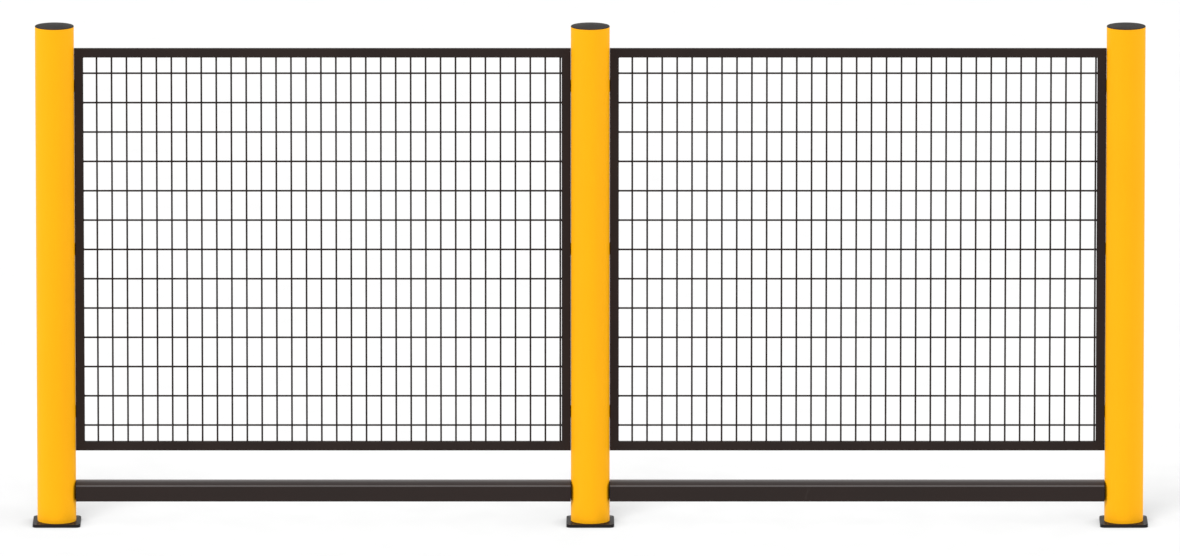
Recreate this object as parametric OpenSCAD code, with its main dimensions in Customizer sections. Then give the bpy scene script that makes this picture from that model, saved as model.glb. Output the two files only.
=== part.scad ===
// Guard fence of two bays. Round polymer posts stand on bolted base plates and carry
// framed panels of welded wire mesh, with a hollow kick rail near the floor in each bay.
// X runs along the fence, Y runs through it with the front at -Y, and Z is up.
// The origin lies on the floor, under the centre of the middle post.

/* [Layout] */
// Distance between the centres of neighbouring posts
bay_pitch = 1791; // [1000:1:2600]
// Gap at a post's side, to the panel frame and to the kick rail
side_gap = 0.5; // [0.3:0.1:2]
// Clearance of every piece that is shaped to sit against a post's round side
seat_clear = 0.2; // [0.1:0.1:0.8]

/* [Posts] */
// Outer diameter of a post
post_d = 130; // [90:1:220]
// Wall thickness of a post
post_wall = 8; // [4:0.5:14]
// Height of a post's upper end above the floor
post_top = 1694; // [900:1:2600]

/* [Caps] */
// Thickness of a cap at its rim
cap_rim_t = 2.5; // [1:0.5:6]
// Rise of the cap's domed top above its rim
cap_rise = 3.5; // [1:0.5:12]
// Width of the bevel round the cap's rim
cap_bevel = 1; // [0.5:0.1:1.5]
// Depth of the cap's skirt inside the post
cap_skirt_h = 25; // [8:1:60]
// Wall thickness of the cap's skirt
cap_skirt_wall = 3; // [1.5:0.5:6]
// Clearance between the cap's skirt and the post's inner wall
cap_fit = 0.3; // [0.1:0.1:0.8]

/* [Base plates] */
// Distance that a base plate reaches past its post on each side
plate_margin = 15; // [13:0.5:60]
// Thickness of a base plate
plate_t = 10; // [5:0.5:20]
// Radius of a base plate's corners
plate_corner_r = 16; // [6:0.5:24]
// Width of the bevel round a base plate's top edge
plate_bevel = 1.5; // [0.5:0.1:3]
// Distance from a base plate's edges to the centre of an anchor hole
anchor_inset = 17.5; // [16:0.5:24]
// Diameter of an anchor hole
anchor_d = 14; // [8:0.5:16]
// Diameter of the countersink at the top of an anchor hole
anchor_sink_d = 24; // [18:0.5:27]
// Depth of the countersink
anchor_sink_depth = 4; // [2:0.5:4.5]

/* [Post spigots] */
// Height of the tube that stands on the base plate inside a post
spigot_h = 150; // [40:5:300]
// Wall thickness of that tube
spigot_wall = 5; // [2:0.5:10]
// Clearance between that tube and the post's inner wall
spigot_fit = 0.5; // [0.2:0.1:0.9]

/* [Panel frames] */
// Height of a panel's lower edge above the floor
panel_bottom = 250; // [160:1:400]
// Distance from a panel's upper edge up to the post's upper end
panel_drop = 74; // [10:1:300]
// Width of a frame tube, seen from the front
tube_face = 30; // [20:0.5:50]
// Depth of a frame tube, front to back
tube_depth = 20; // [16:0.5:40]
// Wall thickness of a frame tube
tube_wall = 2; // [1:0.1:3]
// Radius of a frame tube's outer edges
tube_corner_r = 2.5; // [0.5:0.1:4]

/* [Wire mesh] */
// Distance between upright wires
wire_pitch_x = 50; // [20:1:100]
// Distance between level wires
wire_pitch_z = 100; // [40:1:200]
// Diameter of the wires
wire_d = 6; // [3:0.1:7]
// Gap between a panel's right stile and the upright wire beside it
wire_edge_gap = 2; // [0.5:0.5:20]
// Depth that crossing wires are pressed into each other at a weld
weld_bite = 0.6; // [0.2:0.1:1]

/* [Panel clips] */
// Number of clips on each upright of a frame
clip_count = 3; // [2:1:5]
// Distance from a panel's upper or lower edge to the nearest clip's centre
clip_inset = 130; // [30:1:200]
// Height of a clip
clip_h = 40; // [20:1:70]
// Thickness of a clip
clip_t = 3; // [2:0.5:5]
// Length of the clip's flat leg on the frame tube
clip_leg = 24; // [14:1:30]
// Angle round the post, from the line of the fence, at which a clip ends
clip_wrap = 50; // [30:1:80]

/* [Kick rails] */
// Height of a kick rail's underside above the floor
kick_bottom = 80; // [20:1:100]
// Height of a kick rail's section, at the top of its crown
kick_h = 68; // [40:1:100]
// Depth of a kick rail's section, front to back
kick_depth = 72; // [50:1:100]
// Rise of a kick rail's crowned top above its upright sides
kick_crown = 14; // [6:1:20]
// Wall thickness of a kick rail
kick_wall = 5; // [2:0.5:8]
// Radius of a kick rail's upper edges, where its crown meets its sides
kick_edge_r = 8; // [2:0.5:12]
// Radius of a kick rail's lower edges
kick_corner_r = 4; // [1:0.5:8]

/* [Kick rail plugs] */
// Clearance between a plug and the inside of a kick rail
plug_fit = 0.5; // [0.2:0.1:0.9]
// Length of a plug inside a kick rail
plug_l = 80; // [30:1:150]
// Distance from a kick rail's end to the plug's full section
plug_start = 6; // [2:0.5:15]
// Depth of the plug's neck that reaches the post, front to back
neck_depth = 22; // [14:1:60]

/* [Hidden] */
$fa = 3;
$fs = 0.5;
// Overshoot of cutting shapes past the faces that they cut
over = 1;
wire_sides = 8;

signal_yellow = "#ffbc17";
soft_black = "#342c2a";
deep_black = "#262525";
zinc_grey = "#9a9c9c";

post_r = post_d / 2;
bore_r = post_r - post_wall;
// Half of the space between two posts, less the gaps: the panel and the kick rail fill it
span_half = bay_pitch / 2 - post_r - side_gap;

plate_w = post_d + 2 * plate_margin;
anchor_offset = plate_w / 2 - anchor_inset;

panel_top = post_top - panel_drop;
panel_h = panel_top - panel_bottom;
panel_mid_z = (panel_top + panel_bottom) / 2;
inner_half_w = span_half - tube_face;
inner_h = panel_h - 2 * tube_face;

// The mesh is cut so that its last upright wire runs beside the right stile
last_wire_x = inner_half_w - wire_edge_gap - wire_d / 2;
column_count = floor(2 * last_wire_x / wire_pitch_x) + 1;
row_count = ceil(inner_h / wire_pitch_z) - 1;
// Radius to the corners of a wire's section, whose flats lie wire_d apart
wire_corner_r = wire_d / 2 / cos(180 / wire_sides);
// Distance of each wire layer from the panel's middle plane
wire_offset = (wire_d - weld_bite) / 2;

// How far the arcs at a kick rail's upper edges stand out of its crown, so that they cross it
edge_lap = 0.02;
// Radius of the arc that crowns a kick rail, and the height of its centre above the underside
crown_r = (kick_depth * kick_depth / 4 + kick_crown * kick_crown) / (2 * kick_crown);
crown_z = kick_h - crown_r;

// Rectangle of w by h about the origin, with true arcs at its corners
module rounded_rectangle(w, h, r) {
    square([w - 2 * r, h], center = true);
    square([w, h - 2 * r], center = true);
    for (x = [-1, 1], y = [-1, 1])
        translate([x * (w / 2 - r), y * (h / 2 - r)]) circle(r);
}

// Section of a hollow rectangular tube, w by h outside
module tube_section(w, h, wall, r) {
    difference() {
        rounded_rectangle(w, h, r);
        rounded_rectangle(w - 2 * wall, h - 2 * wall, max(r - wall, 0.5));
    }
}

// Lays a section along X, with its width along Y and its height along Z
module along_x(length) {
    rotate([90, 0, 90]) linear_extrude(length, center = true) children();
}

// Round tube standing on z = 0
module upright_tube(r_out, r_in, h) {
    difference() {
        cylinder(h = h, r = r_out);
        translate([0, 0, -over]) cylinder(h = h + 2 * over, r = r_in);
    }
}

module post() {
    color(signal_yellow)
        translate([0, 0, plate_t]) upright_tube(post_r, bore_r, post_top - plate_t);
}

// Cap that closes a post: a domed and bevelled disc on the tube's end, and a skirt inside it
module cap() {
    dome_r = (post_r * post_r + cap_rise * cap_rise) / (2 * cap_rise);
    skirt_r = bore_r - cap_fit;
    color(deep_black) translate([0, 0, post_top]) {
        rotate_extrude() intersection() {
            translate([0, cap_rim_t + cap_rise - dome_r]) circle(dome_r, $fn = 1440);
            polygon([
                [0, 0], [post_r, 0], [post_r, cap_rim_t - cap_bevel],
                [post_r - cap_bevel, cap_rim_t], [post_r - cap_bevel, 2 * cap_rim_t + cap_rise],
                [0, 2 * cap_rim_t + cap_rise]
            ]);
        }
        translate([0, 0, -cap_skirt_h])
            upright_tube(skirt_r, skirt_r - cap_skirt_wall, cap_skirt_h);
    }
}

// Outline of a base plate along one side: a plate section with bevelled upper edges
module plate_section() {
    half = plate_w / 2;
    polygon([
        [-half, 0], [half, 0], [half, plate_t - plate_bevel],
        [half - plate_bevel, plate_t], [plate_bevel - half, plate_t],
        [-half, plate_t - plate_bevel]
    ]);
}

// Square plate with rounded corners and a bevel round its top edge
module bevelled_plate() {
    straight = plate_w - 2 * plate_corner_r;
    for (turn = [0, 90])
        rotate([90, 0, turn]) linear_extrude(straight, center = true) plate_section();
    for (x = [-straight / 2, straight / 2], y = [-straight / 2, straight / 2])
        translate([x, y, 0]) {
            cylinder(h = plate_t - plate_bevel, r = plate_corner_r);
            translate([0, 0, plate_t - plate_bevel])
                cylinder(h = plate_bevel, r1 = plate_corner_r, r2 = plate_corner_r - plate_bevel);
        }
}

// Base plate with four countersunk anchor holes
module base_plate() {
    color(deep_black) difference() {
        bevelled_plate();
        for (x = [-anchor_offset, anchor_offset], y = [-anchor_offset, anchor_offset])
            translate([x, y, 0]) {
                translate([0, 0, -over]) cylinder(h = plate_t + 2 * over, d = anchor_d);
                translate([0, 0, plate_t - anchor_sink_depth])
                    cylinder(h = anchor_sink_depth, d1 = anchor_d, d2 = anchor_sink_d);
            }
    }
}

// Tube on the base plate that the post slips over
module spigot() {
    spigot_r = bore_r - spigot_fit;
    color(zinc_grey) translate([0, 0, plate_t])
        upright_tube(spigot_r, spigot_r - spigot_wall, spigot_h);
}

// Outline of one frame bar, mitred at both ends: half_l from the bar's middle to the
// panel's corner, and half_w from the panel's middle to the bar's outer edge
module mitred_bar(half_l, half_w) {
    difference() {
        translate([0, 0, half_w - tube_face / 2])
            along_x(2 * half_l) tube_section(tube_depth, tube_face, tube_wall, tube_corner_r);
        for (end = [-1, 1])
            rotate([90, 0, 0]) linear_extrude(tube_depth + 2 * over, center = true)
                polygon([
                    [end * (half_l + over), half_w + over],
                    [end * (half_l + over), half_w - tube_face - over],
                    [end * (half_l - tube_face - over), half_w - tube_face - over]
                ]);
    }
}

// Level frame bar: side is 1 for the top rail and -1 for the bottom rail
module frame_rail(side) {
    color(soft_black) translate([0, 0, panel_mid_z])
        rotate([0, side > 0 ? 0 : 180, 0]) mitred_bar(span_half, panel_h / 2);
}

// Upright frame bar: side is 1 for the right stile and -1 for the left stile
module frame_stile(side) {
    color(soft_black) translate([0, 0, panel_mid_z])
        rotate([0, side * 90, 0]) mitred_bar(panel_h / 2, span_half);
}

// One wire of the mesh along Z about the origin, with flats that face X and Y
module wire(length) {
    rotate([0, 0, 180 / wire_sides])
        cylinder(h = length, r = wire_corner_r, center = true, $fn = wire_sides);
}

// Welded mesh: upright wires in front, level wires behind, ends on the frame's inside
module panel_mesh() {
    first_z = -(row_count - 1) / 2 * wire_pitch_z;
    color(soft_black) translate([0, 0, panel_mid_z]) {
        for (i = [0 : column_count - 1])
            translate([last_wire_x - i * wire_pitch_x, -wire_offset, 0]) wire(inner_h);
        for (i = [0 : row_count - 1])
            translate([0, wire_offset, first_z + i * wire_pitch_z])
                rotate([0, 90, 0]) wire(2 * inner_half_w);
    }
}

// Plan of a clip on the post at the origin, for a stile on the post's +X side
module clip_plan() {
    inner_r = post_r + seat_clear;
    far = 2 * post_r;
    intersection() {
        difference() {
            circle(inner_r + clip_t);
            circle(inner_r);
        }
        polygon([
            [0, 0],
            [far * cos(clip_wrap), far * sin(clip_wrap)],
            [far, far * sin(clip_wrap)],
            [far, tube_depth / 2],
            [inner_r * cos(clip_wrap), tube_depth / 2]
        ]);
    }
    translate([post_r + side_gap, tube_depth / 2]) square([clip_leg, clip_t]);
}

// Clips that tie one stile's back to the post beside it: side is the post's side
module panel_clips(side) {
    first_z = panel_bottom + clip_inset;
    step_z = (panel_h - 2 * clip_inset) / (clip_count - 1);
    color(deep_black) translate([side * bay_pitch / 2, 0, 0]) mirror([side > 0 ? 1 : 0, 0, 0])
        for (i = [0 : clip_count - 1])
            translate([0, 0, first_z + i * step_z - clip_h / 2])
                linear_extrude(clip_h) clip_plan();
}

// A kick rail's section, less a skin of the given thickness: flat underside, upright sides
// and a crowned top, with true arcs at its corners
module kick_area(skin) {
    half = kick_depth / 2 - skin;
    low_r = max(kick_corner_r - skin, 0.5);
    edge_r = max(kick_edge_r - skin, 0.5);
    arc_r = crown_r - skin;
    edge_x = half - edge_r;
    // Height of the upper corner arcs' centres, where those arcs run into the crown
    edge_z = crown_z + sqrt(pow(arc_r - edge_r + edge_lap, 2) - pow(edge_x, 2));
    reach = 2 * arc_r / (arc_r - edge_r);
    translate([-half, skin + low_r]) square([2 * half, edge_z - skin - low_r]);
    translate([low_r - half, skin]) square([2 * (half - low_r), 2 * low_r]);
    for (side = [-1, 1]) {
        translate([side * (half - low_r), skin + low_r]) circle(low_r);
        translate([side * edge_x, edge_z]) circle(edge_r);
    }
    intersection() {
        translate([0, crown_z]) circle(arc_r, $fn = 720);
        polygon([
            [-edge_x, edge_z], [edge_x, edge_z],
            [reach * edge_x, crown_z + reach * (edge_z - crown_z)],
            [-reach * edge_x, crown_z + reach * (edge_z - crown_z)]
        ]);
    }
}

// Hollow kick rail from post to post
module kick_rail() {
    color(soft_black) translate([0, 0, kick_bottom])
        along_x(2 * span_half) difference() {
            kick_area(0);
            kick_area(kick_wall);
        }
}

// Plug in one end of a kick rail, with a neck that seats on the post at that end
module kick_plug(side) {
    rail_end = post_r + side_gap;
    neck_l = side_gap + plug_start + post_r / 2 + over;
    color(deep_black) translate([side * bay_pitch / 2, 0, kick_bottom])
        mirror([side > 0 ? 1 : 0, 0, 0]) difference() {
            union() {
                translate([rail_end + (plug_start + plug_l) / 2, 0, 0])
                    along_x(plug_l - plug_start) kick_area(kick_wall + plug_fit);
                translate([post_r / 2 + neck_l / 2, 0, 0])
                    along_x(neck_l) intersection() {
                        kick_area(kick_wall + plug_fit);
                        translate([-neck_depth / 2, 0]) square([neck_depth, kick_h]);
                    }
            }
            translate([0, 0, -over]) cylinder(h = kick_h + 2 * over, r = post_r + seat_clear);
        }
}

module at_post(i) {
    translate([i * bay_pitch, 0, 0]) children();
}

module at_bay(side) {
    translate([side * bay_pitch / 2, 0, 0]) children();
}

at_post(-1) post();  // post_left
at_post(0) post();  // post_middle
at_post(1) post();  // post_right
at_post(-1) cap();  // cap_left
at_post(0) cap();  // cap_middle
at_post(1) cap();  // cap_right
at_post(-1) base_plate();  // base_plate_left
at_post(0) base_plate();  // base_plate_middle
at_post(1) base_plate();  // base_plate_right
at_post(-1) spigot();  // spigot_left
at_post(0) spigot();  // spigot_middle
at_post(1) spigot();  // spigot_right
at_bay(-1) frame_rail(1);  // left_panel_top_rail
at_bay(-1) frame_rail(-1);  // left_panel_bottom_rail
at_bay(-1) frame_stile(-1);  // left_panel_left_stile
at_bay(-1) frame_stile(1);  // left_panel_right_stile
at_bay(-1) panel_mesh();  // left_panel_mesh
at_bay(-1) panel_clips(-1);  // left_panel_clips_left
at_bay(-1) panel_clips(1);  // left_panel_clips_right
at_bay(1) frame_rail(1);  // right_panel_top_rail
at_bay(1) frame_rail(-1);  // right_panel_bottom_rail
at_bay(1) frame_stile(-1);  // right_panel_left_stile
at_bay(1) frame_stile(1);  // right_panel_right_stile
at_bay(1) panel_mesh();  // right_panel_mesh
at_bay(1) panel_clips(-1);  // right_panel_clips_left
at_bay(1) panel_clips(1);  // right_panel_clips_right
at_bay(-1) kick_rail();  // kick_rail_left
at_bay(-1) kick_plug(-1);  // kick_plug_left_outer
at_bay(-1) kick_plug(1);  // kick_plug_left_inner
at_bay(1) kick_rail();  // kick_rail_right
at_bay(1) kick_plug(1);  // kick_plug_right_outer
at_bay(1) kick_plug(-1);  // kick_plug_right_inner
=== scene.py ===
"""Looks of a guard fence in two bays: finishes, round mesh wire, welds, fixings and studio.

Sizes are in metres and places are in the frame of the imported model: X along the fence,
Y through it with the front at -Y, and Z up from the floor.
"""

from __future__ import annotations

import functools
import logging
import math
import operator
import random
from collections.abc import Mapping, Sequence
from dataclasses import dataclass, field
from enum import Enum
from typing import Any

import bpy
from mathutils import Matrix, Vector

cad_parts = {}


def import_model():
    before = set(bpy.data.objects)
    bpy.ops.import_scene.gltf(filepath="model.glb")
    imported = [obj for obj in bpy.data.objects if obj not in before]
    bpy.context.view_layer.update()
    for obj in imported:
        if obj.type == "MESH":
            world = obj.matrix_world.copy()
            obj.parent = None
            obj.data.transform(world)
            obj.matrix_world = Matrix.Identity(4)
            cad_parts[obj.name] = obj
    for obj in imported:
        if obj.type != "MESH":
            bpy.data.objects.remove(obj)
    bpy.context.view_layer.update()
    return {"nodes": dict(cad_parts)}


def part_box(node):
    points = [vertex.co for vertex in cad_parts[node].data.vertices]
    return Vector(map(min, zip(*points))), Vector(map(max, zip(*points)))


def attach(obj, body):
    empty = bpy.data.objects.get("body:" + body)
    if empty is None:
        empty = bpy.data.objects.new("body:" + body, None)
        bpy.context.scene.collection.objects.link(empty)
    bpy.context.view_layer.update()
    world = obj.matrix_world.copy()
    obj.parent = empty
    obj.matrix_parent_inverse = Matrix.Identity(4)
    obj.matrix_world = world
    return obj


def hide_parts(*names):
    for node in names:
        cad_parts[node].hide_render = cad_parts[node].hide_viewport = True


LOG = logging.getLogger("guard_fence")
BODY = "root"
MM = 0.001
BACKWARD = Vector((0.0, 1.0, 0.0))
UPWARD = Vector((0.0, 0.0, 1.0))

Colour = tuple[float, float, float]
Factors = tuple[float, float, float]
Stops = Sequence[tuple[float, float]]
EVEN: Factors = (1.0, 1.0, 1.0)


def shade(red: int, green: int, blue: int) -> Colour:
    """Turns a colour given in steps of 0 to 255 into the linear values that shaders use.

    Args:
        red: Red, 0 to 255.
        green: Green, 0 to 255.
        blue: Blue, 0 to 255.

    Returns:
        The three linear values, 0 to 1.
    """
    steps = (red / 255, green / 255, blue / 255)
    return tuple(s / 12.92 if s <= 0.04045 else ((s + 0.055) / 1.055) ** 2.4 for s in steps)


# ---------------------------------------------------------------- shader graphs


class Signal:
    """One output of a shader graph, which takes part in arithmetic."""

    def __init__(self, graph: Graph, socket: bpy.types.NodeSocket) -> None:
        """Keeps the graph and the socket.

        Args:
            graph: The graph that the socket belongs to.
            socket: The output socket.
        """
        self.graph = graph
        self.socket = socket

    def _math(self, operation: str, left: Any, right: Any) -> Signal:
        """Adds one Math node.

        Args:
            operation: The node's operation.
            left: First value or signal.
            right: Second value or signal.

        Returns:
            The node's result.
        """
        return self.graph.node("ShaderNodeMath", {"operation": operation}, {0: left, 1: right})

    def __add__(self, other: Any) -> Signal:
        """Returns self + other."""
        return self._math("ADD", self, other)

    def __radd__(self, other: Any) -> Signal:
        """Returns other + self."""
        return self._math("ADD", other, self)

    def __sub__(self, other: Any) -> Signal:
        """Returns self - other."""
        return self._math("SUBTRACT", self, other)

    def __rsub__(self, other: Any) -> Signal:
        """Returns other - self."""
        return self._math("SUBTRACT", other, self)

    def __mul__(self, other: Any) -> Signal:
        """Returns self * other."""
        return self._math("MULTIPLY", self, other)

    def __rmul__(self, other: Any) -> Signal:
        """Returns other * self."""
        return self._math("MULTIPLY", other, self)

    def __or__(self, other: Any) -> Signal:
        """Returns the larger of self and other, which joins two masks."""
        return self._math("MAXIMUM", self, other)

    def rise(self, low: float, high: float) -> Signal:
        """Rises smoothly from 0 to 1 while the signal goes from low to high.

        Args:
            low: Where the result is still 0.
            high: Where the result reaches 1.

        Returns:
            The mask.
        """
        settings = {"interpolation_type": "SMOOTHSTEP"}
        return self.graph.node("ShaderNodeMapRange", settings, {0: self, 1: low, 2: high})

    def ramp(self, stops: Stops) -> Signal:
        """Reads the signal through a grey ramp.

        Args:
            stops: Pairs of place and grey value.

        Returns:
            The ramp's value.
        """
        return self.graph.node("ShaderNodeValToRGB", {"stops": stops}, {0: self})

    def blend(self, start: Any, end: Any) -> Signal:
        """Mixes two colours, with the signal as the share of the second.

        Args:
            start: Colour where the signal is 0.
            end: Colour where the signal is 1.

        Returns:
            The mixed colour.
        """
        inputs = {0: self, 6: start, 7: end}
        return self.graph.node("ShaderNodeMix", {"data_type": "RGBA"}, inputs, output=2)


class Graph:
    """A node tree that is filled through one method."""

    def __init__(self, owner: bpy.types.Material | bpy.types.World) -> None:
        """Clears the owner's nodes.

        Args:
            owner: The material or world that holds the nodes.
        """
        owner.use_nodes = True
        self.tree = owner.node_tree
        self.tree.nodes.clear()

    def node(
        self,
        kind: str,
        settings: Mapping[str, Any] | None = None,
        inputs: Mapping[str | int, Any] | None = None,
        output: str | int = 0,
    ) -> Signal | None:
        """Adds a node.

        Args:
            kind: The node's type.
            settings: Its properties; "stops" fills a ramp with (place, grey) pairs.
            inputs: Values or signals for its input sockets.
            output: The output socket to return.

        Returns:
            The chosen output, or None where the node has no output.
        """
        made = self.tree.nodes.new(kind)
        for name, value in (settings or {}).items():
            if name == "stops":
                self._fill_ramp(made.color_ramp, value)
            else:
                setattr(made, name, value)
        for key, value in (inputs or {}).items():
            self._feed(made.inputs[key], value)
        return Signal(self, made.outputs[output]) if made.outputs else None

    def _feed(self, socket: bpy.types.NodeSocket, value: Any) -> None:
        """Sets or links an input socket.

        Args:
            socket: The input socket.
            value: A signal, a number or a colour.
        """
        if isinstance(value, Signal):
            self.tree.links.new(value.socket, socket)
        elif socket.type == "RGBA" and len(value) == 3:
            socket.default_value = (*value, 1.0)
        else:
            socket.default_value = value

    @staticmethod
    def _fill_ramp(ramp: bpy.types.ColorRamp, stops: Stops) -> None:
        """Writes grey stops into a ramp.

        Args:
            ramp: The ramp, which starts with two stops.
            stops: Pairs of place and grey value.
        """
        while len(ramp.elements) < len(stops):
            ramp.elements.new(0.5)
        for element, (place, grey) in zip(ramp.elements, stops):
            element.position = place
            element.color = (grey, grey, grey, 1.0)

    def rays(self, *kinds: str) -> Signal:
        """Gives 1 on rays of some kinds, and 0 on the rest.

        Args:
            kinds: "Camera", "Glossy", "Transmission" and the like.

        Returns:
            The mask.
        """
        masks = [self.node("ShaderNodeLightPath", output=f"Is {kind} Ray") for kind in kinds]
        return functools.reduce(operator.or_, masks)

    def steepness(self) -> Signal:
        """Gives 0 on upright sides, 1 on a level top, and less than 0 on undersides."""
        normal = self.node("ShaderNodeNewGeometry", output="Normal")
        return self.node("ShaderNodeSeparateXYZ", {}, {0: normal}, output="Z")

    def place(self, stretch: Factors = EVEN) -> Signal:
        """Gives the place on the object, in metres.

        Args:
            stretch: Factors for X, Y and Z; a small one draws a pattern out.

        Returns:
            The place as a vector.
        """
        spot = self.node("ShaderNodeTexCoord", output="Object")
        if stretch == EVEN:
            return spot
        return self.node("ShaderNodeVectorMath", {"operation": "MULTIPLY"}, {0: spot, 1: stretch})

    def noise(self, scale: float, detail: float = 2.0, stretch: Factors = EVEN) -> Signal:
        """Gives smooth noise of about 0 to 1.

        Args:
            scale: Waves to a metre.
            detail: Number of finer layers.
            stretch: Factors for X, Y and Z of the place.

        Returns:
            The noise value.
        """
        inputs = {"Vector": self.place(stretch), "Scale": scale, "Detail": detail}
        return self.node("ShaderNodeTexNoise", {}, inputs, output=0)

    def cells(self, scale: float) -> Signal:
        """Gives the distance to the nearest of many scattered points.

        Args:
            scale: Cells to a metre.

        Returns:
            The distance value.
        """
        inputs = {"Vector": self.place(), "Scale": scale}
        return self.node("ShaderNodeTexVoronoi", {}, inputs, output="Distance")


# --------------------------------------------------------------------- finishes

# Mean of every noise pattern
MEAN = 0.5


class Grain(Enum):
    """The line that an extruded surface follows, as factors that draw a pattern out."""

    ALONG = (0.03, 1.0, 1.0)
    UP = (1.0, 1.0, 0.03)


@dataclass(frozen=True)
class Skin:
    """What varies over a surface.

    Attributes:
        colour: Signal for the base colour.
        roughness: Signal for the roughness.
        height: Signal for the bump.
        depth: Height in metres of a full step of the bump.
    """

    colour: Signal
    roughness: Signal
    height: Signal
    depth: float


@dataclass(frozen=True)
class Finish:
    """A surface finish; each kind adds its own skin.

    Attributes:
        name: Name of the material.
        colour: Main colour, linear.
        accent: Colour that the main one drifts to, linear.
        roughness: Mean roughness.
        metallic: 1 for bare metal.
        specular: Specular level.
        coat: Weight of a clear coat.
        coat_roughness: Roughness of the clear coat.
        bump: Strength of the bump.
    """

    name: str
    colour: Colour
    accent: Colour
    roughness: float
    metallic: float = 0.0
    specular: float = 0.5
    coat: float = 0.0
    coat_roughness: float = 0.1
    bump: float = 0.5

    def skin(self, graph: Graph) -> Skin:
        """Builds what varies over the surface.

        Args:
            graph: The material's graph.

        Returns:
            The skin.
        """
        raise NotImplementedError

    def material(self) -> bpy.types.Material:
        """Makes the material, or returns the one made before.

        Returns:
            The material.
        """
        made = bpy.data.materials.get(self.name)
        if made is not None and made.get("finish") == self.name:
            return made
        made = bpy.data.materials.new(self.name)
        made["finish"] = self.name
        graph = Graph(made)
        skin = self.skin(graph)
        inputs = {"Height": skin.height, "Distance": skin.depth, "Strength": self.bump}
        normal = graph.node("ShaderNodeBump", {}, inputs)
        inputs = {
            "Base Color": skin.colour,
            "Roughness": skin.roughness,
            "Normal": normal,
            "Metallic": self.metallic,
            "Specular IOR Level": self.specular,
            "Coat Weight": self.coat,
            "Coat Roughness": self.coat_roughness,
        }
        surface = graph.node("ShaderNodeBsdfPrincipled", {}, inputs)
        graph.node("ShaderNodeOutputMaterial", {}, {"Surface": surface})
        return made


@dataclass(frozen=True)
class ExtrudedPolymer(Finish):
    """A polymer profile with faint draw lines along its length and light scuffs.

    Attributes:
        grain: The line that the profile was drawn along.
        scuff: Colour of a rubbed mark, linear.
        painted_sheen: Colour painted on the upper side as a painted reflection, and on the
            rounded front edge as a painted highlight, linear.
        sheen_by_slope: How far the painted sheen takes hold, against the steepness of the surface:
            0 for an upright side and 1 for a level top.
        line_waves: Draw lines to a metre.
        cloud_waves: Slow drifts of tone to a metre.
        pore_waves: Fine pores to a metre.
        mark_waves: Rubbed marks to a metre.
        mark_stretch: Factors that draw the rubbed marks out upwards.
        patch_waves: Patches to a metre in which marks gather.
        sheen_waves: Waves of the painted sheen's unevenness to a metre.
        mark_tone: Share of the scuff colour in a rubbed mark.
        relief: Height of a full step of the surface.
    """

    grain: Grain = Grain.UP
    scuff: Colour = (0.5, 0.5, 0.5)
    painted_sheen: Colour | None = None
    sheen_by_slope: Stops = ((0.0, 0.0), (1.0, 1.0))
    line_waves: float = 150.0
    cloud_waves: float = 3.1
    pore_waves: float = 1400.0
    mark_waves: float = 34.0
    mark_stretch: Factors = (1.0, 1.0, 0.35)
    patch_waves: float = 2.3
    sheen_waves: float = 9.0
    mark_tone: float = 0.10
    relief: float = 0.25 * MM

    def skin(self, graph: Graph) -> Skin:
        """Builds draw lines, slow drifts of tone and a few rubbed marks.

        Args:
            graph: The material's graph.

        Returns:
            The skin.
        """
        lines = graph.noise(self.line_waves, 4, self.grain.value)
        cloud = graph.noise(self.cloud_waves, 2)
        pores = graph.noise(self.pore_waves, 1)
        marks = graph.noise(self.mark_waves, 5, self.mark_stretch).rise(0.66, 0.78)
        marks = marks * graph.noise(self.patch_waves, 1).rise(0.5, 0.7)
        tone = (lines - MEAN) * 0.5 + (cloud - MEAN) * 1.4 + MEAN
        colour = tone.rise(0.0, 1.0).blend(self.colour, self.accent)
        # Where a sheen colour is set, the steepness of the surface paints the upper side lighter
        # as a painted reflection, and paints a lighter line on the rounded front edge as a painted
        # highlight.
        if self.painted_sheen:
            uneven = graph.noise(self.sheen_waves, 3) * 0.2 + 0.9
            sheen_mask = graph.steepness().ramp(self.sheen_by_slope) * uneven
            colour = sheen_mask.blend(colour, self.painted_sheen)
        colour = (marks * self.mark_tone).blend(colour, self.scuff)
        rough = (lines - MEAN) * 0.16 + (cloud - MEAN) * 0.08 + marks * 0.12 + self.roughness
        height = lines * 0.55 + pores * 0.3 - marks * 0.2
        return Skin(colour, rough, height, self.relief)


@dataclass(frozen=True)
class MouldedPolymer(Finish):
    """A moulded polymer with a fine even grain.

    Attributes:
        pit_cells: Pits of the mould's grain to a metre.
        cloud_waves: Slow drifts of tone to a metre.
        relief: Height of a full step of the surface.
    """

    pit_cells: float = 900.0
    cloud_waves: float = 14.0
    relief: float = 0.12 * MM

    def skin(self, graph: Graph) -> Skin:
        """Builds the mould's grain and a slow drift of tone.

        Args:
            graph: The material's graph.

        Returns:
            The skin.
        """
        pits = graph.cells(self.pit_cells)
        cloud = graph.noise(self.cloud_waves, 2)
        colour = cloud.rise(0.25, 0.75).blend(self.colour, self.accent)
        rough = (cloud - MEAN) * 0.12 + (pits - MEAN) * 0.10 + self.roughness
        return Skin(colour, rough, pits + cloud * 0.2, self.relief)


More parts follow.
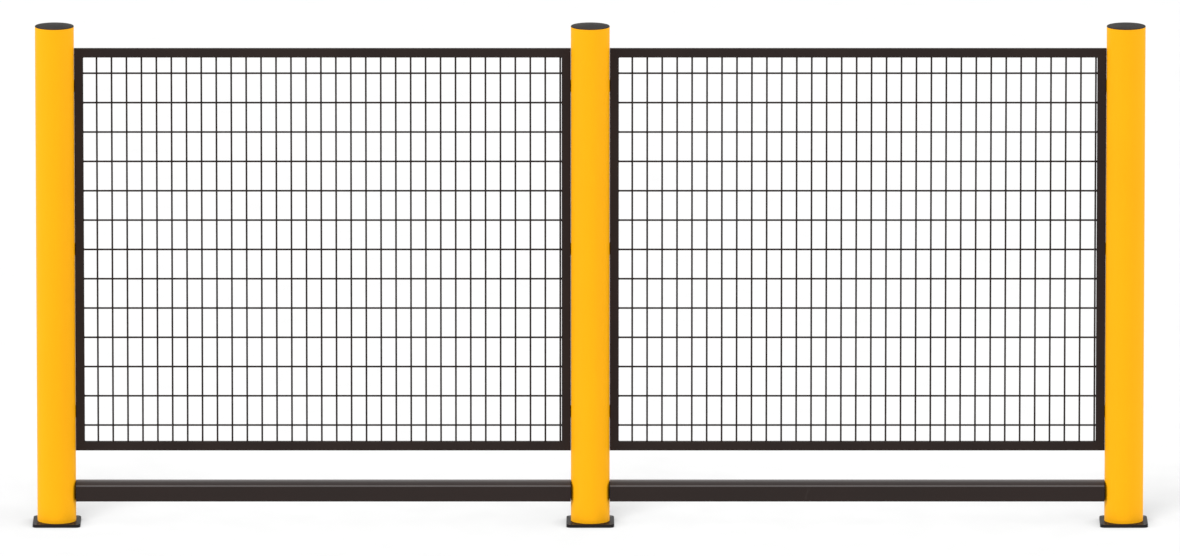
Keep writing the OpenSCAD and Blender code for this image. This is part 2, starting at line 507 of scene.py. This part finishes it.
@dataclass(frozen=True)
class PowderCoat(Finish):
    """Baked powder paint: a soft orange-peel surface with fine flecks.

    Attributes:
        peel: Waves of the orange peel to a metre.
        fleck: Colour of the fine flecks, linear.
        cloud_waves: Slow drifts of tone to a metre.
        fleck_waves: Flecks to a metre.
        fleck_tone: Share of the fleck colour in a fleck.
        relief: Height of a full step of the surface.
    """

    peel: float = 420.0
    fleck: Colour = (0.2, 0.2, 0.2)
    cloud_waves: float = 5.3
    fleck_waves: float = 2100.0
    fleck_tone: float = 0.10
    relief: float = 0.18 * MM

    def skin(self, graph: Graph) -> Skin:
        """Builds the orange peel, flecks and a slow drift of tone.

        Args:
            graph: The material's graph.

        Returns:
            The skin.
        """
        peel = graph.noise(self.peel, 2)
        cloud = graph.noise(self.cloud_waves, 3)
        flecks = graph.noise(self.fleck_waves, 1).rise(0.68, 0.76)
        colour = cloud.rise(0.3, 0.7).blend(self.colour, self.accent)
        colour = (flecks * self.fleck_tone).blend(colour, self.fleck)
        rough = (peel - MEAN) * 0.10 + (cloud - MEAN) * 0.10 + flecks * 0.08 + self.roughness
        return Skin(colour, rough, peel + flecks * 0.08, self.relief)


@dataclass(frozen=True)
class TreatedSteel(Finish):
    """Plated or blackened steel with a fine machined grain.

    Attributes:
        blotch_waves: Blotches of the plating to a metre.
        scratch_waves: Fine scratches to a metre.
        scratch_stretch: Factors that draw the scratches out upwards.
        relief: Height of a full step of the surface.
    """

    blotch_waves: float = 160.0
    scratch_waves: float = 1800.0
    scratch_stretch: Factors = (1.0, 1.0, 0.2)
    relief: float = 0.05 * MM

    def skin(self, graph: Graph) -> Skin:
        """Builds fine scratches and a blotchy plating.

        Args:
            graph: The material's graph.

        Returns:
            The skin.
        """
        blotch = graph.noise(self.blotch_waves, 3)
        scratches = graph.noise(self.scratch_waves, 2, self.scratch_stretch)
        colour = blotch.rise(0.3, 0.7).blend(self.colour, self.accent)
        rough = (blotch - MEAN) * 0.22 + (scratches - MEAN) * 0.16 + self.roughness
        return Skin(colour, rough, scratches + blotch * 0.4, self.relief)


POST_YELLOW = ExtrudedPolymer(
    name="signal_yellow_polymer",
    colour=(0.985, 0.446, 0.004),
    accent=(0.975, 0.430, 0.004),
    roughness=0.55,
    specular=0.09,
    bump=0.35,
    grain=Grain.UP,
    scuff=(0.85, 0.52, 0.10),
)
RAIL_BLACK = ExtrudedPolymer(
    name="rail_black_polymer",
    colour=shade(38, 27, 24),
    accent=shade(34, 25, 22),
    roughness=0.34,
    specular=0.20,
    bump=0.35,
    grain=Grain.ALONG,
    scuff=shade(92, 86, 84),
    # Painted sheen: the rail's top is painted lighter as a painted reflection, and its rounded
    # front edge carries a painted highlight line.
    painted_sheen=shade(92, 87, 86),
    sheen_by_slope=((0.04, 0.0), (0.30, 1.0), (0.64, 1.0), (0.80, 0.20), (0.93, 0.32), (1.0, 0.9)),
)
FRAME_COAT = PowderCoat(
    name="frame_powder_coat",
    colour=shade(43, 34, 31),
    accent=shade(39, 31, 29),
    roughness=0.55,
    specular=0.10,
    bump=0.4,
    fleck=shade(90, 82, 80),
)
WIRE_COAT = PowderCoat(
    name="wire_powder_coat",
    colour=shade(40, 31, 29),
    accent=shade(35, 29, 28),
    roughness=0.55,
    specular=0.10,
    bump=0.3,
    peel=700.0,
    fleck=shade(88, 82, 80),
)
PLATE_COAT = PowderCoat(
    name="base_plate_gloss_coat",
    colour=shade(38, 35, 36),
    accent=shade(32, 30, 31),
    roughness=0.42,
    specular=0.06,
    bump=0.35,
    peel=300.0,
    fleck=shade(80, 80, 82),
)
CLIP_COAT = PowderCoat(
    name="clip_powder_coat",
    colour=shade(40, 37, 36),
    accent=shade(34, 32, 31),
    roughness=0.42,
    specular=0.35,
    bump=0.4,
    peel=520.0,
    fleck=shade(84, 80, 78),
)
CAP_POLYMER = MouldedPolymer(
    name="cap_black_polymer",
    colour=shade(46, 41, 38),
    accent=shade(38, 34, 32),
    roughness=0.6,
    specular=0.10,
    bump=0.35,
)
PLUG_POLYMER = MouldedPolymer(
    name="plug_black_polymer",
    colour=shade(40, 37, 36),
    accent=shade(34, 32, 31),
    roughness=0.5,
    specular=0.35,
    bump=0.4,
)
ANCHOR_STEEL = TreatedSteel(
    name="anchor_blackened_steel",
    colour=shade(50, 48, 48),
    accent=shade(38, 36, 36),
    roughness=0.45,
    metallic=0.8,
    bump=0.3,
)
SCREW_STEEL = TreatedSteel(
    name="screw_blackened_steel",
    colour=shade(74, 72, 72),
    accent=shade(58, 56, 56),
    roughness=0.34,
    metallic=0.85,
    bump=0.3,
)
SPIGOT_ZINC = TreatedSteel(
    name="spigot_zinc_plate",
    colour=shade(168, 170, 172),
    accent=shade(148, 150, 153),
    roughness=0.36,
    metallic=0.9,
    bump=0.3,
)


# --------------------------------------------------------------------- geometry


@dataclass
class Ring:
    """One ring of a lathed or swept shape.

    Attributes:
        radius: Distance of its points from the line.
        along: Distance along the line.
        hexagon: 0 for a round ring, and 1 for a six-sided one whose flats touch the radius.
    """

    radius: float
    along: float
    hexagon: float = 0.0


@dataclass
class Shape:
    """Gathers points and faces, and turns them into one piece.

    Attributes:
        points: The points so far.
        faces: The faces so far, as numbers of points.
        bead_step: Distance between the sections of a weld bead.
        bead_points: Number of points across a weld bead.
        bead_ripple: Height of a bead's ripples, as a share of its rise.
        bead_wave: Distance between a bead's ripples.
    """

    points: list[Vector] = field(default_factory=list)
    faces: list[tuple[int, ...]] = field(default_factory=list)
    bead_step: float = 0.55 * MM
    bead_points: int = 7
    bead_ripple: float = 0.10
    bead_wave: float = 1.9 * MM

    def lathe(self, start: Vector, line: Vector, rings: Sequence[Ring], sides: int) -> None:
        """Adds a closed shape of rings about a line.

        Args:
            start: Where distance along the line is 0.
            line: The line's direction.
            rings: The rings, from one end to the other.
            sides: Number of points in a ring.
        """
        turn = line.to_track_quat("Z", "Y").to_matrix()
        first = len(self.points)
        sixth = math.pi / 3
        for ring in rings:
            for i in range(sides):
                angle = 2 * math.pi * i / sides
                flat = 1 / math.cos((angle + sixth / 2) % sixth - sixth / 2)
                reach = ring.radius * (1 + ring.hexagon * (flat - 1))
                spot = Vector((reach * math.cos(angle), reach * math.sin(angle), ring.along))
                self.points.append(start + turn @ spot)
        for r in range(len(rings) - 1):
            base = first + r * sides
            for i in range(sides):
                j = (i + 1) % sides
                self.faces.append((base + i, base + j, base + sides + j, base + sides + i))
        last = first + (len(rings) - 1) * sides
        self.faces.append(tuple(first + i for i in reversed(range(sides))))
        self.faces.append(tuple(last + i for i in range(sides)))

    def bead(self, start: Vector, end: Vector, out: Vector, width: float, rise: float) -> None:
        """Adds a rippled weld bead that lies on a surface.

        Args:
            start: One end of the bead.
            end: The other end.
            out: Direction away from the surface.
            width: Full width of the bead.
            rise: Height of the bead.
        """
        run = end - start
        length = run.length
        side = run.normalized().cross(out).normalized() * (width / 2)
        steps = max(6, int(length / self.bead_step))
        arc = self.bead_points
        first = len(self.points)
        for s in range(steps + 1):
            t = s / steps
            # The sum keeps a little width at the two ends, so that no face shrinks to nothing
            taper = min(1.0, math.sqrt(min(t, 1 - t) * length / (width / 2) + 0.02))
            ripple = 1 + self.bead_ripple * abs(math.sin(math.pi * t * length / self.bead_wave))
            for a in range(arc):
                angle = math.pi * a / (arc - 1)
                lift = out * (rise * math.sin(angle) * taper * ripple)
                self.points.append(start + run * t + side * (math.cos(angle) * taper) + lift)
        for s in range(steps):
            for a in range(arc - 1):
                p = first + s * arc + a
                self.faces.append((p, p + arc, p + arc + 1, p + 1))
            p = first + s * arc
            self.faces.append((p, p + arc - 1, p + 2 * arc - 1, p + arc))
        self.faces.append(tuple(first + a for a in range(arc)))
        last = first + steps * arc
        self.faces.append(tuple(last + a for a in reversed(range(arc))))

    def piece(self, name: str, finish: Finish, crease: float = 32.0) -> bpy.types.Object:
        """Makes the object, dresses it and lets it ride on the fence.

        Args:
            name: Name of the piece.
            finish: Its finish.
            crease: Angle in degrees above which an edge stays sharp.

        Returns:
            The new object.
        """
        mesh = bpy.data.meshes.new(name)
        mesh.from_pydata([tuple(p) for p in self.points], [], self.faces)
        mesh.update()
        mesh.shade_smooth()
        mesh.set_sharp_from_angle(angle=math.radians(crease))
        mesh.materials.append(finish.material())
        made = bpy.data.objects.new(name, mesh)
        bpy.context.scene.collection.objects.link(made)
        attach(made, BODY)
        LOG.info("piece %s: %d faces", name, len(self.faces))
        return made


# ----------------------------------------------------------------- sub-assemblies


@dataclass
class MeshSheet:
    """The welded wire mesh of one panel, with round wires.

    Attributes:
        bay: "left" or "right".
        wire_d: Diameter of the wires.
        pitch_x: Distance between upright wires.
        pitch_z: Distance between level wires.
        edge_gap: Gap between the right stile and the upright wire beside it.
        sides: Number of points round a wire.
        fillet: The weld fillet at a wire's end, as pairs of a share of the wire's radius and
            the distance from the frame in millimetres.
        collar: Smallest and largest radius of a crossing's collar, in wire radii.
        collar_half: Smallest and largest half height of a collar, in wire diameters.
        collar_turns: Angles above a collar's middle at which its rings lie, in degrees.
        collar_sides: Number of points round a collar.
    """

    bay: str
    wire_d: float = 6 * MM
    pitch_x: float = 50 * MM
    pitch_z: float = 100 * MM
    edge_gap: float = 2 * MM
    sides: int = 14
    fillet: Stops = ((1.42, 0.0), (1.36, 0.35), (1.18, 0.9), (1.06, 1.6), (1.0, 2.6))
    collar: tuple[float, float] = (0.98, 1.12)
    collar_half: tuple[float, float] = (0.26, 0.31)
    collar_turns: tuple[float, ...] = (-78, -40, 0, 40, 78)
    collar_sides: int = 10

    def __post_init__(self) -> None:
        """Reads the sheet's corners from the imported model."""
        self.low, self.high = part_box(f"{self.bay}_panel_mesh")
        self.front_y = self.low.y + self.wire_d / 2
        self.back_y = self.high.y - self.wire_d / 2

    def _columns(self) -> list[float]:
        """Steps from the right stile to the left one.

        Returns:
            The upright wires' places.
        """
        inset = self.edge_gap + self.wire_d / 2
        count = math.floor((self.high.x - self.low.x - 2 * inset) / self.pitch_x) + 1
        return [self.high.x - inset - i * self.pitch_x for i in range(count)]

    def _rows(self) -> list[float]:
        """Spreads wires evenly between the two rails.

        Returns:
            The level wires' places.
        """
        count = math.ceil(round((self.high.z - self.low.z) / self.pitch_z, 4)) - 1
        middle = (self.low.z + self.high.z) / 2
        return [middle + (i - (count - 1) / 2) * self.pitch_z for i in range(count)]

    def _wire(self, shape: Shape, start: Vector, end: Vector) -> None:
        """Adds one wire, with a small weld fillet where each end meets the frame.

        Args:
            shape: The shape to add to.
            start: One end of the wire.
            end: The other end.
        """
        radius = self.wire_d / 2
        length = (end - start).length
        rings = [Ring(radius * share, along * MM) for share, along in self.fillet]
        rings += [Ring(ring.radius, length - ring.along) for ring in reversed(rings)]
        shape.lathe(start, (end - start).normalized(), rings, self.sides)

    def _weld(self, shape: Shape, middle: Vector, rng: random.Random) -> None:
        """Adds the squeezed collar where two wires cross.

        Args:
            shape: The shape to add to.
            middle: The crossing's centre, between the wires.
            rng: Source of small differences between welds.
        """
        radius = self.wire_d / 2 * rng.uniform(*self.collar)
        half = self.wire_d * rng.uniform(*self.collar_half)
        turns = [math.radians(a) for a in self.collar_turns]
        rings = [Ring(radius * math.cos(a), half * math.sin(a)) for a in turns]
        shape.lathe(middle, BACKWARD, rings, self.collar_sides)

    def build(self) -> None:
        """Builds the wires and the welds, and lets them stand for the CAD sheet."""
        columns, rows = self._columns(), self._rows()
        wires = Shape()
        for x in columns:
            start, end = (Vector((x, self.front_y, z)) for z in (self.low.z, self.high.z))
            self._wire(wires, start, end)
        for z in rows:
            start, end = (Vector((x, self.back_y, z)) for x in (self.low.x, self.high.x))
            self._wire(wires, start, end)
        made = wires.piece(f"{self.bay}_mesh_wires", WIRE_COAT)
        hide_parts(f"{self.bay}_panel_mesh")
        rng = random.Random(f"{self.bay} welds")
        welds = Shape()
        for x in columns:
            for z in rows:
                self._weld(welds, Vector((x, 0, z)), rng)
        welds.piece(f"{self.bay}_mesh_welds", WIRE_COAT, crease=80)


@dataclass
class FrameWelds:
    """Weld beads at the mitred corners of one panel frame.

    Attributes:
        bay: "left" or "right".
        width: Width of a bead.
        rise: Height of a bead on the back; one in an inner corner is twice as high.
        edge: Distance that a bead keeps from the frame's edges.
    """

    bay: str
    width: float = 4.5 * MM
    rise: float = 0.9 * MM
    edge: float = 3 * MM

    def build(self) -> None:
        """Builds a bead across the back of each mitre and one in each inner corner."""
        low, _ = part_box(f"{self.bay}_panel_bottom_rail")
        top_low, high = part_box(f"{self.bay}_panel_top_rail")
        bar = high.z - top_low.z
        shape = Shape()
        for x, way_x in ((low.x, 1), (high.x, -1)):
            for z, way_z in ((low.z, 1), (high.z, -1)):
                away = Vector((way_x, 0, way_z))
                back = Vector((x, high.y, z))
                outer, inner = back + away * self.edge, back + away * (bar - self.edge)
                shape.bead(outer, inner, BACKWARD, self.width, self.rise)
                corner = Vector((x, 0, z)) + away * bar
                reach = BACKWARD * ((high.y - low.y) / 2 - self.edge)
                away.normalize()
                shape.bead(corner - reach, corner + reach, away, self.width, 2 * self.rise)
        shape.piece(f"{self.bay}_frame_welds", FRAME_COAT, crease=60)


@dataclass
class Screw:
    """A domed socket-head screw.

    Attributes:
        head_r: Radius of the head.
        head_h: Height of the head.
        socket_r: Half of the socket's width across its flats.
        socket_depth: Depth of the socket.
        socket_edge: Depth of the bevel at the socket's mouth.
        point: Depth of the drill point under the socket.
        foot: Heights of a ring sunk in the surface and of the two ends of the head's side.
        dome: The dome, as pairs of shares of the head's radius and of its height.
    """

    head_r: float = 5.6 * MM
    head_h: float = 3.1 * MM
    socket_r: float = 2.0 * MM
    socket_depth: float = 1.6 * MM
    socket_edge: float = 0.15 * MM
    point: float = 0.5 * MM
    foot: tuple[float, float, float] = (-0.4 * MM, 0.15 * MM, 0.6 * MM)
    dome: Stops = ((0.9, 0.58), (0.72, 0.86), (0.55, 1.0))

    def add(self, shape: Shape, seat: Vector, out: Vector) -> None:
        """Adds one screw head.

        Args:
            shape: The shape to add to.
            seat: Where the head's underside meets the surface.
            out: Direction away from the surface.
        """
        r, h, s = self.head_r, self.head_h, self.socket_r
        sunk, low, high = self.foot
        rings = [Ring(r * 0.9, sunk), Ring(r, low), Ring(r, high)]
        rings += [Ring(r * wide, h * tall) for wide, tall in self.dome]
        rings += [
            Ring(s * 1.12, h, 1.0),
            Ring(s, h - self.socket_edge, 1.0),
            Ring(s, h - self.socket_depth, 1.0),
            Ring(s * 0.2, h - self.socket_depth - self.point),
        ]
        shape.lathe(seat, out.normalized(), rings, 24)


@dataclass
class AnchorSet:
    """The four countersunk floor anchors of one base plate.

    Attributes:
        post: "left", "middle" or "right".
        inset: Distance from the plate's edges to an anchor.
        head_r: Radius of the countersunk head.
        shank_r: Radius of the shank.
        socket_r: Half of the socket's width across its flats.
        socket_depth: Depth of the socket.
        socket_edge: Depth of the bevel at the socket's mouth.
        point: Depth of the drill point under the socket.
        sunk: Distance of the head below the plate's face.
        cone: Depth of the head's cone.
        rim: Width and height of the bevel round the head.
        lift: Height of the shank's end above the floor.
    """

    post: str
    inset: float = 17.5 * MM
    head_r: float = 11.5 * MM
    shank_r: float = 6.0 * MM
    socket_r: float = 4.0 * MM
    socket_depth: float = 3.4 * MM
    socket_edge: float = 0.25 * MM
    point: float = 0.8 * MM
    sunk: float = 0.35 * MM
    cone: float = 4.2 * MM
    rim: tuple[float, float] = (0.3 * MM, 0.5 * MM)
    lift: float = 0.2 * MM

    def build(self) -> None:
        """Builds the anchors, down to the floor."""
        low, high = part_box(f"base_plate_{self.post}")
        top = high.z - self.sunk
        shape = Shape()
        rim_w, rim_h = self.rim
        rings = [
            Ring(self.shank_r, self.lift),
            Ring(self.shank_r, top - self.cone),
            Ring(self.head_r, top - rim_h),
            Ring(self.head_r - rim_w, top),
            Ring(self.socket_r * 1.1, top, 1.0),
            Ring(self.socket_r, top - self.socket_edge, 1.0),
            Ring(self.socket_r, top - self.socket_depth, 1.0),
            Ring(self.socket_r * 0.15, top - self.socket_depth - self.point),
        ]
        for x in (low.x + self.inset, high.x - self.inset):
            for y in (low.y + self.inset, high.y - self.inset):
                shape.lathe(Vector((x, y, 0)), UPWARD, rings, 36)
        shape.piece(f"anchors_{self.post}", ANCHOR_STEEL)


@dataclass
class ClipScrews:
    """The screws that hold the clips behind one stile.

    Attributes:
        bay: "left" or "right".
        side: "left" or "right" stile of that bay.
        post_x: Place of the post beside the stile.
        post_r: Radius of the post.
        count: Number of clips.
        clip_h: Height of a clip.
        clip_t: Thickness of a clip.
        seat: Clearance between a clip and the post.
        leg_inset: Distance from the end of a clip's leg to its screw.
        post_angle: Angle round the post, from the line of the fence, of the post's screw.
    """

    bay: str
    side: str
    post_x: float
    post_r: float
    count: int = 3
    clip_h: float = 40 * MM
    clip_t: float = 3 * MM
    seat: float = 0.2 * MM
    leg_inset: float = 10 * MM
    post_angle: float = math.radians(36)

    def build(self) -> None:
        """Builds one screw on the leg of each clip and one on its curved part."""
        node = f"{self.bay}_panel_clips_{self.side}"
        low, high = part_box(node)
        _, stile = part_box(f"{self.bay}_panel_{self.side}_stile")
        way = 1 if self.side == "left" else -1
        screw = Screw()
        shape = Shape()
        lowest, highest = low.z + self.clip_h / 2, high.z - self.clip_h / 2
        leg_end = high.x if way > 0 else low.x
        leg_x, leg_y = leg_end - way * self.leg_inset, stile.y + self.clip_t
        out = Vector((way * math.cos(self.post_angle), math.sin(self.post_angle), 0))
        reach = self.post_r + self.seat + self.clip_t
        for i in range(self.count):
            z = lowest + (highest - lowest) * i / (self.count - 1)
            screw.add(shape, Vector((leg_x, leg_y, z)), BACKWARD)
            screw.add(shape, Vector((self.post_x, 0, z)) + out * reach, out)
        shape.piece(f"{node}_screws", SCREW_STEEL)


@dataclass
class RailScrews:
    """The screws that hold a kick rail to its two plugs, on its back.

    Attributes:
        bay: "left" or "right".
        insets: Distances from the rail's ends to the screws.
        height: Height of the screws above the rail's underside.
    """

    bay: str
    insets: tuple[float, ...] = (24 * MM, 60 * MM)
    height: float = 26 * MM

    def build(self) -> None:
        """Builds the screws on the rail's back face."""
        low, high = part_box(f"kick_rail_{self.bay}")
        screw = Screw(head_r=6.5 * MM, head_h=3.4 * MM, socket_r=2.4 * MM)
        shape = Shape()
        for inset in self.insets:
            for x in (low.x + inset, high.x - inset):
                screw.add(shape, Vector((x, high.y, low.z + self.height)), BACKWARD)
        shape.piece(f"kick_rail_{self.bay}_screws", SCREW_STEEL)


@dataclass
class Wardrobe:
    """Gives every CAD node its finish.

    Attributes:
        nodes: The CAD nodes by name.
    """

    nodes: Mapping[str, bpy.types.Object]

    def _finish(self, name: str) -> Finish:
        """Chooses a node's finish.

        Args:
            name: The node's name.

        Returns:
            The finish.
        """
        table = (
            ("post_", POST_YELLOW),
            ("cap_", CAP_POLYMER),
            ("base_plate_", PLATE_COAT),
            ("spigot_", SPIGOT_ZINC),
            ("kick_rail_", RAIL_BLACK),
            ("kick_plug_", PLUG_POLYMER),
            ("_clips_", CLIP_COAT),
            ("_panel_", FRAME_COAT),
        )
        for part, finish in table:
            if part in name:
                return finish
        raise ValueError(f"no finish for {name}")

    def dress(self) -> None:
        """Dresses every node."""
        for name, node in self.nodes.items():
            finish = self._finish(name)
            for slot in node.material_slots:
                slot.material = finish.material()
            LOG.info("node %s: %s", name, finish.name)


# -------------------------------------------------------------------- the studio


@dataclass
class Lamp:
    """A soft lamp so far off that it lights every post alike.

    Attributes:
        name: Its name.
        bearing: Angle to the right of the fence's front, in degrees.
        rise: Angle above level, in degrees.
        spread: How wide the lamp looks from the fence, in degrees.
        strength: Light that reaches a face turned to the lamp, in watts to a square metre.
        lights: The only objects that it lights; none for all.
        shaded_by: The only objects that cast a shadow from it; none for all.
        distance: Where its marker hangs, which changes nothing about the light.
    """

    name: str
    bearing: float
    rise: float
    spread: float
    strength: float
    lights: Sequence[bpy.types.Object] = ()
    shaded_by: Sequence[bpy.types.Object] = ()
    distance: float = 10.0

    def _group(self, use: str, members: Sequence[bpy.types.Object]) -> bpy.types.Collection | None:
        """Gathers objects for the lamp's light links.

        Args:
            use: What the group is for.
            members: The objects.

        Returns:
            The group, or None where it is empty.
        """
        if not members:
            return None
        group = bpy.data.collections.new(f"{self.name}_{use}")
        for member in members:
            group.objects.link(member)
        return group

    def build(self) -> None:
        """Hangs the lamp."""
        data = bpy.data.lights.new(self.name, "SUN")
        data.energy = self.strength
        data.angle = math.radians(self.spread)
        lamp = bpy.data.objects.new(self.name, data)
        bearing, rise = math.radians(self.bearing), math.radians(self.rise)
        level = math.cos(rise)
        toward = Vector((level * math.sin(bearing), -level * math.cos(bearing), math.sin(rise)))
        lamp.location = toward * self.distance
        lamp.rotation_euler = (-toward).to_track_quat("-Z", "Y").to_euler()
        lamp.light_linking.receiver_collection = self._group("lights", self.lights)
        lamp.light_linking.blocker_collection = self._group("shades", self.shaded_by)
        bpy.context.scene.collection.objects.link(lamp)


@dataclass
class Studio:
    """A pale floor, a white surround and soft lamps.

    Attributes:
        footed: The pieces that stand on the floor and shade it.
        half_floor: Half of the floor's width.
        horizon: Light that comes from the surround at eye level.
        zenith: Light that comes from straight above.
        floor_drop: How far the floor lies under the fence, so that no faces share a place.
        floor_grey: Darkest and lightest grey of the floor, which shows through its lift.
        floor_waves: Slow drifts of the floor's grey to a metre.
        floor_lift: Brightness of the floor as a background.
        floor_reach: How far from the fence its contact shadow reaches.
        floor_bounce: Light that the floor throws back onto the fence.
    """

    footed: Sequence[bpy.types.Object]
    half_floor: float = 40.0
    horizon: float = 1.0
    zenith: float = 0.75
    floor_drop: float = 0.2 * MM
    floor_grey: tuple[float, float] = (0.029, 0.031)
    floor_waves: float = 7.0
    floor_lift: float = 0.41
    floor_reach: float = 75 * MM
    floor_bounce: float = 0.8

    def _world(self) -> None:
        """Makes the surround: white as a background, and a soft dome as a light."""
        world = bpy.data.worlds.new("surround")
        bpy.context.scene.world = world
        graph = Graph(world)
        way = graph.node("ShaderNodeTexCoord", output="Generated")
        height = graph.node("ShaderNodeSeparateXYZ", {}, {0: way}, output="Z").rise(0.05, 0.95)
        dome = height * (self.zenith - self.horizon) + self.horizon
        white = graph.rays("Camera", "Glossy", "Transmission")
        strength = white + (1 - white) * dome
        inputs = {"Color": (1, 1, 1), "Strength": strength}
        surface = graph.node("ShaderNodeBackground", {}, inputs)
        graph.node("ShaderNodeOutputWorld", {}, {"Surface": surface})

    def _floor(self) -> bpy.types.Object:
        """Lays the floor, which turns white to the camera and keeps its shadows.

        Returns:
            The floor.
        """
        h, z = self.half_floor, -self.floor_drop
        mesh = bpy.data.meshes.new("floor")
        mesh.from_pydata([(-h, -h, z), (h, -h, z), (h, h, z), (-h, h, z)], [], [(0, 1, 2, 3)])
        material = bpy.data.materials.new("pale_floor")
        graph = Graph(material)
        white = graph.rays("Camera", "Glossy", "Transmission")
        dark, light = ((grey, grey, grey) for grey in self.floor_grey)
        pale = graph.noise(self.floor_waves, 3).rise(0.2, 0.8).blend(dark, light)
        tone = white.blend((0, 0, 0), pale)
        diffuse = graph.node("ShaderNodeBsdfDiffuse", {}, {"Color": tone})
        reach = {"Distance": self.floor_reach}
        open_air = graph.node("ShaderNodeAmbientOcclusion", {"samples": 12}, reach, "AO")
        strength = white * open_air * self.floor_lift + (1 - white) * self.floor_bounce
        glow = graph.node("ShaderNodeEmission", {}, {"Strength": strength})
        both = graph.node("ShaderNodeAddShader", {}, {0: diffuse, 1: glow})
        graph.node("ShaderNodeOutputMaterial", {}, {"Surface": both})
        mesh.materials.append(material)
        floor = bpy.data.objects.new("floor", mesh)
        bpy.context.scene.collection.objects.link(floor)
        return floor

    def build(self) -> None:
        """Builds the surround, the floor and the lamps."""
        self._world()
        floor = self._floor()
        Lamp("key_lamp", bearing=-62, rise=25, spread=30, strength=1.35).build()
        Lamp("fill_lamp", bearing=70, rise=15, spread=50, strength=1.0).build()
        links = {"lights": [floor], "shaded_by": self.footed}
        Lamp("floor_key", bearing=-15, rise=65, spread=20, strength=29.0, **links).build()
        Lamp("floor_top", bearing=30, rise=80, spread=40, strength=34.0, **links).build()


@dataclass
class Camera:
    """A distant camera that looks slightly down on the fence's front.

    Attributes:
        lens: Focal length in millimetres.
        sensor: Sensor width in millimetres.
        pitch: Angle below level, in degrees.
        aim: The point at the middle of the view.
        view_width: Width of what the view takes in, at the aim.
        margin: How far past the fence the camera still sees the floor.
    """

    lens: float = 600.0
    sensor: float = 36.0
    pitch: float = 11.0
    aim: Vector = field(default_factory=lambda: Vector((-0.0009, 0.0, 0.838)))
    view_width: float = 3.953
    margin: float = 120.0

    def build(self) -> None:
        """Places the camera and makes it the scene's camera."""
        data = bpy.data.cameras.new("camera")
        data.lens = self.lens
        data.sensor_width = self.sensor
        distance = self.view_width * self.lens / self.sensor
        tilt = math.radians(self.pitch)
        back = Vector((0, -math.cos(tilt), math.sin(tilt)))
        data.clip_start = 1.0
        data.clip_end = distance + self.margin
        camera = bpy.data.objects.new("camera", data)
        camera.location = self.aim + back * distance
        camera.rotation_euler = (-back).to_track_quat("-Z", "Y").to_euler()
        bpy.context.scene.collection.objects.link(camera)
        bpy.context.scene.camera = camera


def main() -> None:
    """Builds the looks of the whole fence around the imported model."""
    logging.basicConfig(level=logging.INFO, format="%(name)s: %(message)s")
    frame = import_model()
    bpy.context.scene.view_settings.view_transform = "Standard"

    nodes = frame["nodes"]
    Wardrobe(nodes).dress()
    for post in ("left", "middle", "right"):
        AnchorSet(post).build()
    for bay, beside in (("left", ("left", "middle")), ("right", ("middle", "right"))):
        MeshSheet(bay).build()
        FrameWelds(bay).build()
        RailScrews(bay).build()
        for side, post in zip(("left", "right"), beside):
            low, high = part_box(f"post_{post}")
            ClipScrews(bay, side, (low.x + high.x) / 2, (high.x - low.x) / 2).build()
    Studio([node for name, node in nodes.items() if name.startswith(("post_", "base_"))]).build()
    Camera().build()


if __name__ == "__main__":
    main()
